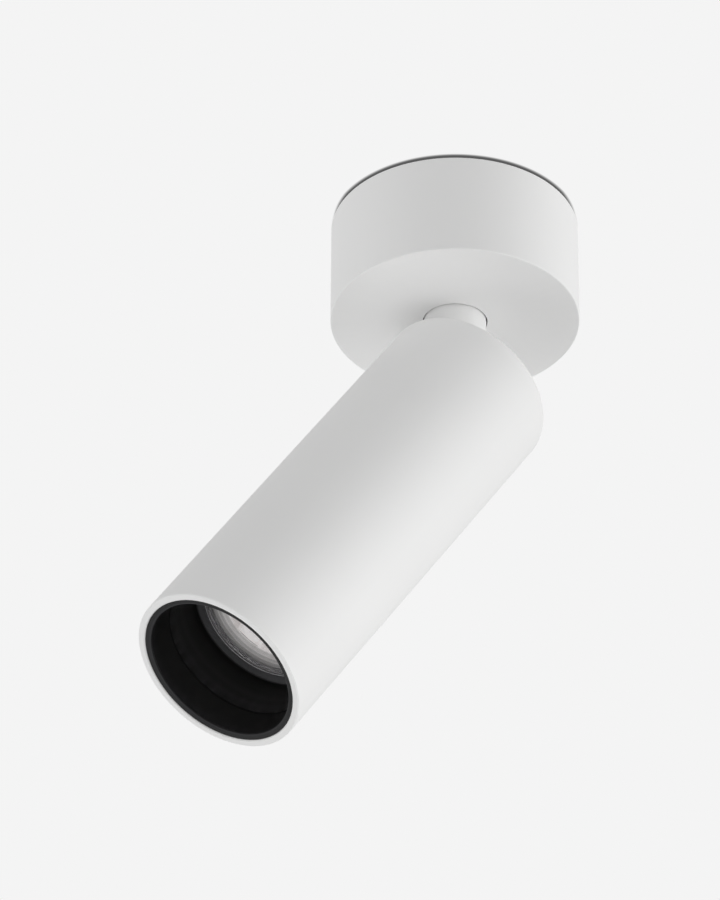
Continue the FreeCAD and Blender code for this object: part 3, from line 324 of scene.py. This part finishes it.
FINISH = {
    WHITE: "canopy head_housing neck_tube",
    BLACK: "baffle",
    ZINC: "mounting_plate tilt_bracket",
    STEEL: "canopy_grub_screws earth_screw earth_washer terminal_screws "
           "terminal_block_screws pan_bush_screws tilt_bracket_screws tilt_bolt "
           "tilt_lock_nut lamp_holder_screws pan_stop_washer pan_spring_washer "
           "baffle_springs lamp_pins",
    BRASS: "terminal_sleeves pan_ring_nut holder_contacts",
    IVORY: "terminal_block",
    RUBBER: "cable_grommet",
    NYLON: "pan_bush neck_grommet tilt_friction_washers",
    CERAMIC: "lamp_holder lamp_base",
    REFLECTOR: "lamp_reflector",
    GLASS: "lamp_cover_glass lamp_capsule",
}


def dress():
    for mat, names in FINISH.items():
        for name in names.split():
            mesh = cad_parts[name].data
            mesh.materials.clear()
            mesh.materials.append(mat)


# ------------------------------------------------------------------ detail pieces
SHARP = math.radians(35)     # edges from this angle up stay sharp in a smooth piece
NEAR_0 = 1e-6                # keeps a recess's radius from a division by 0


def add_piece(name, bm, body, mat, smooth=True, stands_for=()):
    """Turns a bmesh into a piece that rides on a body."""
    bmesh.ops.recalc_face_normals(bm, faces=bm.faces)
    mesh = bpy.data.meshes.new(name)
    bm.to_mesh(mesh)
    bm.free()
    if smooth:
        mesh.shade_smooth()
        mesh.set_sharp_from_angle(angle=SHARP)
    mesh.materials.append(mat)
    obj = bpy.data.objects.new(name, mesh)
    bpy.context.scene.collection.objects.link(obj)
    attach(obj, body)
    if stands_for:
        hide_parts(*stands_for)


def around(radius, angle, z):
    """Point in metres, from a radius and height in millimetres."""
    return Vector((radius * MM * math.cos(angle), radius * MM * math.sin(angle), z * MM))


def lathe(name, body, mat, rows, places, seg=96, stands_for=()):
    """Surfaces of revolution from (radius, height) rows in millimetres. A radius may be
    a function of the angle, for recesses and flats."""
    bm = bmesh.new()
    for spot in places:
        rings = []
        for radius, z in rows:
            if radius == 0:
                rings.append([bm.verts.new(spot @ around(0, 0, z))])
                continue
            loop = []
            for k in range(seg):
                a = 2 * math.pi * k / seg
                r = radius(a) if callable(radius) else radius
                loop.append(bm.verts.new(spot @ around(r, a, z)))
            rings.append(loop)
        for low, high in zip(rings, rings[1:]):
            for k in range(seg):
                corners = [low[k % len(low)], low[(k + 1) % len(low)],
                           high[(k + 1) % len(high)], high[k % len(high)]]
                bm.faces.new(list(dict.fromkeys(corners)))
    add_piece(name, bm, body, mat, stands_for=stands_for)


def screw_spot(x, y, z, base=Matrix(), down=False, turn=0.0):
    """Spot in millimetres, as a frame with +Z along a screw from its tip to its head."""
    spot = base @ Matrix.Translation(Vector((x, y, z)) * MM)
    if down:
        spot = spot @ Matrix.Rotation(math.pi, 4, "X")
    return spot @ Matrix.Rotation(turn, 4, "Z")


def hex_radius(across, most=math.inf):
    """Hexagon by its size across the flats, with its corners turned down to most."""
    def radius(a):
        off = (a + math.pi / 6) % (math.pi / 3) - math.pi / 6
        return min(across / 2 / math.cos(off), most)
    return radius


def cross_radius(reach, half):
    """Four-armed recess, by its arms' length and half their width."""
    def radius(a):
        off = abs((a + math.pi / 4) % (math.pi / 2) - math.pi / 4)
        return min(reach / math.cos(off), half / max(math.sin(off), NEAR_0))
    return radius


def slot_radius(reach, half):
    """Slot, by half its length and half its width."""
    def radius(a):
        return min(reach / max(abs(math.cos(a)), NEAR_0),
                   half / max(abs(math.sin(a)), NEAR_0))
    return radius


def screw_rows(r, length, head_r, head_t, drive, deep, sunk=False, pitch=0.5):
    """Threaded shank from its tip at 0, then the head with its drive recess."""
    rows = [(0, 0), (r * 0.7, 0)]
    turns = int((length - pitch) / pitch)
    for k in range(turns):
        rows += [(r, (k + 0.5) * pitch), (r * 0.86, (k + 1) * pitch)]
    rows.append((r, length))
    top = length + head_t
    if sunk:
        rows.append((head_r, top))
    else:
        rows += [(head_r, length), (head_r, top - head_t * 0.3), (head_r * 0.88, top)]
    rows += [(drive, top), (drive, top - deep), (0, top - deep)]
    return rows


def headless_rows(r, tip, length, drive, deep, root=1.3, top_r=1.35, crests=5, pitch=0.5):
    """Screw without a head, threaded near its tip at 0, with a recess in its end."""
    rows = [(0, 0), (tip, 0), (r, r - tip)]
    for k in range(1, crests):
        crest = r - tip + k * pitch
        rows += [(root, crest - pitch / 2), (r, crest)]
    rows += [(r, length - 0.2), (top_r, length)]
    rows += [(drive, length), (drive, length - deep), (0, length - deep)]
    return rows


def make_screws():
    """Threaded and recessed pieces that stand for the plain solids of the fasteners."""
    lathe("foot_screws", "head", STEEL,
          screw_rows(r=1.5, length=3.3, head_r=2.95, head_t=1.45,
                     drive=cross_radius(1.7, 0.4), deep=1.2, sunk=True),
          [screw_spot(x, y, 6.4, HEAD, turn=x + y) for x in (-5, 5) for y in (-18.5, 18.5)],
          seg=48, stands_for=("tilt_bracket_screws",))
    for_bolt = HEAD @ Matrix.Rotation(math.pi / 2, 4, "X")
    lathe("pivot_bolt", "head", STEEL,
          screw_rows(r=2.5, length=31.4, head_r=4.25, head_t=3.0, drive=hex_radius(4.0),
                     deep=2.0, pitch=0.8),
          [screw_spot(0, 0, -18.45, for_bolt)], seg=72, stands_for=("tilt_bolt",))
    lathe("pivot_nut", "head", STEEL,
          [(2.53, 0), (3.6, 0), (hex_radius(8.0, 4.25), 0.05), (hex_radius(8.0, 4.6), 0.45),
           (hex_radius(8.0, 4.6), 2.7), (hex_radius(8.0, 3.95), 3.0), (3.6, 3.2),
           (3.5, 3.95), (2.9, 4.0), (2.53, 3.9), (2.53, 0)],
          [screw_spot(0, 0, -12.95, for_bolt, down=True)], seg=72,
          stands_for=("tilt_lock_nut",))
    lathe("holder_screws", "head", STEEL,
          screw_rows(r=1.25, length=7.5, head_r=2.5, head_t=1.8,
                     drive=cross_radius(1.5, 0.35), deep=1.1, pitch=0.45),
          [screw_spot(0, y, -74, HEAD, turn=y) for y in (-7.5, 7.5)], seg=48,
          stands_for=("lamp_holder_screws",))
    lathe("earth_terminal_screw", "ceiling_base", BRASS,
          screw_rows(r=2.0, length=2.3, head_r=3.8, head_t=2.6,
                     drive=cross_radius(2.2, 0.5), deep=1.5),
          [screw_spot(-22, 0, -0.1, down=True, turn=0.4)], seg=48,
          stands_for=("earth_screw",))
    lathe("connector_screws", "ceiling_base", STEEL,
          screw_rows(r=1.5, length=13.5, head_r=2.6, head_t=1.8,
                     drive=cross_radius(1.6, 0.4), deep=1.1),
          [screw_spot(22, y, -0.1, down=True, turn=y) for y in (-5, 5)], seg=48,
          stands_for=("terminal_block_screws",))
    lathe("bush_screws", "ceiling_base", STEEL,
          screw_rows(r=1.25, length=6.5, head_r=2.2, head_t=1.3,
                     drive=cross_radius(1.4, 0.35), deep=0.9, pitch=0.45),
          [screw_spot(17.2 * math.cos(a), 17.2 * math.sin(a), -39.4, turn=a * 2)
           for a in (math.pi / 3, math.pi, math.pi * 5 / 3)], seg=48,
          stands_for=("pan_bush_screws",))
    lathe("clamp_screws", "ceiling_base", BRASS,
          headless_rows(r=1.45, tip=1.05, length=5.2, drive=slot_radius(1.3, 0.25),
                        deep=0.8),
          [screw_spot(22 + x, y, -7.45, down=True, turn=x + y)
           for x in (-3.5, 3.5) for y in (-10, 0, 10)], seg=48,
          stands_for=("terminal_screws",))
    grubs = [Matrix.Rotation(math.radians(a), 4, "Z") @
             Matrix.Translation((40.8 * MM, 0, -7.5 * MM)) @
             Matrix.Rotation(math.pi / 2, 4, "Y") for a in (-25.5, 154.5)]
    lathe("rim_grub_screws", "ceiling_base", STEEL,
          headless_rows(r=1.5, tip=1.0, length=3.8, drive=hex_radius(1.5), deep=1.4),
          grubs, seg=48, stands_for=("canopy_grub_screws",))


def make_lamp_optic():
    """Moulded front optic behind the lamp's glass: stepped rings near the edge, and a
    shallow dish of small flats."""
    steps = [(22.35, -129.85), (22.1, -129.6), (21.0, -129.5), (20.8, -129.8),
             (20.3, -129.8), (20.1, -129.3), (19.2, -129.2), (19.0, -129.6),
             (18.4, -129.6), (18.2, -129.0), (17.4, -128.9), (17.2, -129.1),
             (16.8, -129.1)]
    lathe("optic_steps", "head", OPTIC, steps, [HEAD])
    flats = 40
    rows = [17.0, 14.8, 12.6, 10.4, 8.2, 6.0, 3.8]
    rim_z, dish, tip_z = -129.0, 2.4, -126.5
    bm = bmesh.new()
    rings = []
    for n, radius in enumerate(rows):
        loop = []
        for k in range(flats):
            a = 2 * math.pi * (k + 0.5 * (n % 2)) / flats
            z = rim_z + dish * (1 - (radius / rows[0]) ** 2)
            z += 0.22 * math.sin(5 * a + 2 * n) + 0.12 * ((k + n) % 2)
            loop.append(bm.verts.new(HEAD @ around(radius, a, z)))
        rings.append(loop)
    tip = bm.verts.new(HEAD @ around(0, 0, tip_z))
    for low, high in zip(rings, rings[1:]):
        for k in range(flats):
            bm.faces.new((low[k], low[(k + 1) % flats], high[(k + 1) % flats]))
            bm.faces.new((low[k], high[(k + 1) % flats], high[k]))
    for k in range(flats):
        bm.faces.new((rings[-1][k], rings[-1][(k + 1) % flats], tip))
    add_piece("optic_flats", bm, "head", OPTIC, smooth=False)


def make_lamp_edge():
    """Ground edge of the lamp's front glass, a painted glint: a fine bright line in the
    baffle's hole.
    """
    ring_r, ring_z, half, sides = 23.62, -132.75, 0.14, 12
    rows = []
    for k in range(sides + 1):
        a = 2 * math.pi * k / sides
        rows.append((ring_r + half * math.cos(a), ring_z + half * math.sin(a)))
    lathe("glass_edge", "head", EDGE, rows, [HEAD])


def make_lip_roll():
    """Rounded inner edge of the baffle's lip."""
    wall_r, roll, roll_z, steps = 27.95, 0.8, -161.05, 8
    rows = [(29.1, -161.82), (28.1, -161.85)]
    for k in range(steps + 1):
        a = math.pi * (1.5 - k / steps)
        rows.append((wall_r + roll * math.cos(a), roll_z + roll * math.sin(a)))
    rows.append((wall_r, -159.6))
    lathe("lip_roll", "head", BLACK, rows, [HEAD], seg=144)


# ------------------------------------------------------------------ stage and light
PALE = 0.905                 # linear value of the background
FLOOR_DOWN = 2.4             # a room's height
CANOPY_R = max(corner[0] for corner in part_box("canopy"))

# Painted shadow: the dark line on the ceiling over the canopy's rim, in metres from that
# rim.
SHADOW_LINE_IN = 0.0015
SHADOW_LINE_OUT = 0.0001
SHADOW_LINE_FRONT = 0.0009          # how much further out the painted shadow reaches on the camera's side
SHADOW_LINE_TONES = [(0.0, 0.1), (0.2, 0.11), (0.4, 0.2), (0.65, 0.45), (0.85, 0.72), (1.0, PALE)]

# Soft light from the room, as the way to each bright part of it and its level, where 1
# lights a facing white surface to white.
AMBIENT = 0.2
SPREAD = 8                   # higher makes the bright parts narrower
LIGHTS = {
    "left_low": ((-0.75, 0.20, -0.75), 0.31),
    "left_high": ((-0.85, 0.20, 0.50), 0.27),
    "front": ((-0.20, -0.95, -0.10), 0.165),
    "front_low": ((-0.28, -0.86, -0.42), 0.075),
    "right": ((0.90, -0.28, -0.10), 0.332),
    "right_low": ((0.75, -0.30, -0.60), 0.286),
    "right_high": ((0.60, -0.59, 0.54), 0.16),
    "back_low": ((-0.20, 0.70, -0.70), 0.17),
}

# Rays of the camera, and those that metal and glass send on.
SEEN = ("Camera", "Transmission", "Glossy")


def make_world():
    """Room light with bright parts, and the pale background where the camera, metal and
    glass see it."""
    world = bpy.data.worlds.new("studio")
    bpy.context.scene.world = world
    n = Nodes(world, "OutputWorld")
    seen = n.add("Background", Color=(PALE, PALE, PALE, 1))
    lit = n.add("Background", Color=(1, 1, 1, 1))
    way = n.add("TexCoord")
    total = n.add("Value")
    total.outputs[0].default_value = AMBIENT
    for direction, level in LIGHTS.values():
        facing = n.add("VectorMath", operation="DOT_PRODUCT")
        n.join(way, facing, "Generated")
        facing.inputs[1].default_value = Vector(direction).normalized()
        kept = n.add("Math", operation="MAXIMUM")
        n.join(facing, kept, "Value")
        kept.inputs[1].default_value = 0
        lobe = n.add("Math", operation="POWER")
        n.join(kept, lobe)
        lobe.inputs[1].default_value = SPREAD
        more = n.add("Math", operation="MULTIPLY_ADD")
        n.join(lobe, more)
        # A facing surface gets 2 / (SPREAD + 2) of a lobe's peak.
        more.inputs[1].default_value = level * (SPREAD + 2) / 2
        n.join(total, more, 0, 2)
        total = more
    n.join(total, lit, 0, "Strength")
    end_mixed(n, any_ray(n, *SEEN), lit, seen)


def stage_plane(name, height, half, mat):
    mesh = bpy.data.meshes.new(name)
    mesh.from_pydata([(-half, -half, height), (half, -half, height), (half, half, height),
                      (-half, half, height)], [], [(0, 1, 2, 3)])
    mesh.materials.append(mat)
    obj = bpy.data.objects.new(name, mesh)
    bpy.context.scene.collection.objects.link(obj)
    return obj


def make_floor():
    """Pale floor a room's height below, shown in the background's own tone."""
    n = Nodes(bpy.data.materials.new("pale_floor"))
    base = n.add("BsdfDiffuse", Color=(0.8, 0.8, 0.8, 1))
    glow = n.add("Emission", Color=(PALE, PALE, PALE, 1))
    end_mixed(n, any_ray(n, *SEEN), base, glow)
    floor = stage_plane("floor", -FLOOR_DOWN, 8.0, n.owner)
    floor.visible_diffuse = False
    floor.visible_shadow = False


def make_ceiling():
    """Ceiling that the light is fixed to. It shows from below only, in the background's
    tone, with a painted shadow: the dark line over the canopy's rim."""
    n = Nodes(bpy.data.materials.new("ceiling_with_painted_shadow"))
    place = n.add("TexCoord")
    away = n.add("VectorMath", operation="LENGTH")
    n.join(place, away, "Object")
    front = n.add("VectorMath", operation="DOT_PRODUCT")
    n.join(place, front, "Object")
    front.inputs[1].default_value = TURN @ Vector((0, -1, 0))
    part = n.add("Math", operation="DIVIDE")
    n.join(front, part, "Value")
    n.join(away, part, "Value", 1)
    # part is the cosine of the angle from the camera's side; the painted shadow widens with
    # it
    wider = ranged(n, part, 0, 0.2, 0.5, top=-SHADOW_LINE_FRONT)
    near = n.add("Math", operation="ADD")
    n.join(away, near, "Value")
    n.join(wider, near, "Result", 1)
    span = ranged(n, near, 0, CANOPY_R - SHADOW_LINE_IN, CANOPY_R + SHADOW_LINE_OUT)
    glow = n.add("Emission")
    n.join(ramp(n, span, SHADOW_LINE_TONES, "Result"), glow, 0, "Color")
    shape = n.add("NewGeometry")
    end_mixed(n, shape, n.add("BsdfTransparent"), glow, "Backfacing")
    ceiling = stage_plane("ceiling", 0.1 * MM, 6.0, n.owner)
    ceiling.visible_diffuse = False
    ceiling.visible_glossy = False
    ceiling.visible_transmission = False
    ceiling.visible_shadow = False


make_camera()
dress()
make_screws()
make_lamp_optic()
make_lamp_edge()
make_lip_roll()
make_world()
make_floor()
make_ceiling()

view = bpy.context.scene.view_settings
view.view_transform = "Standard"
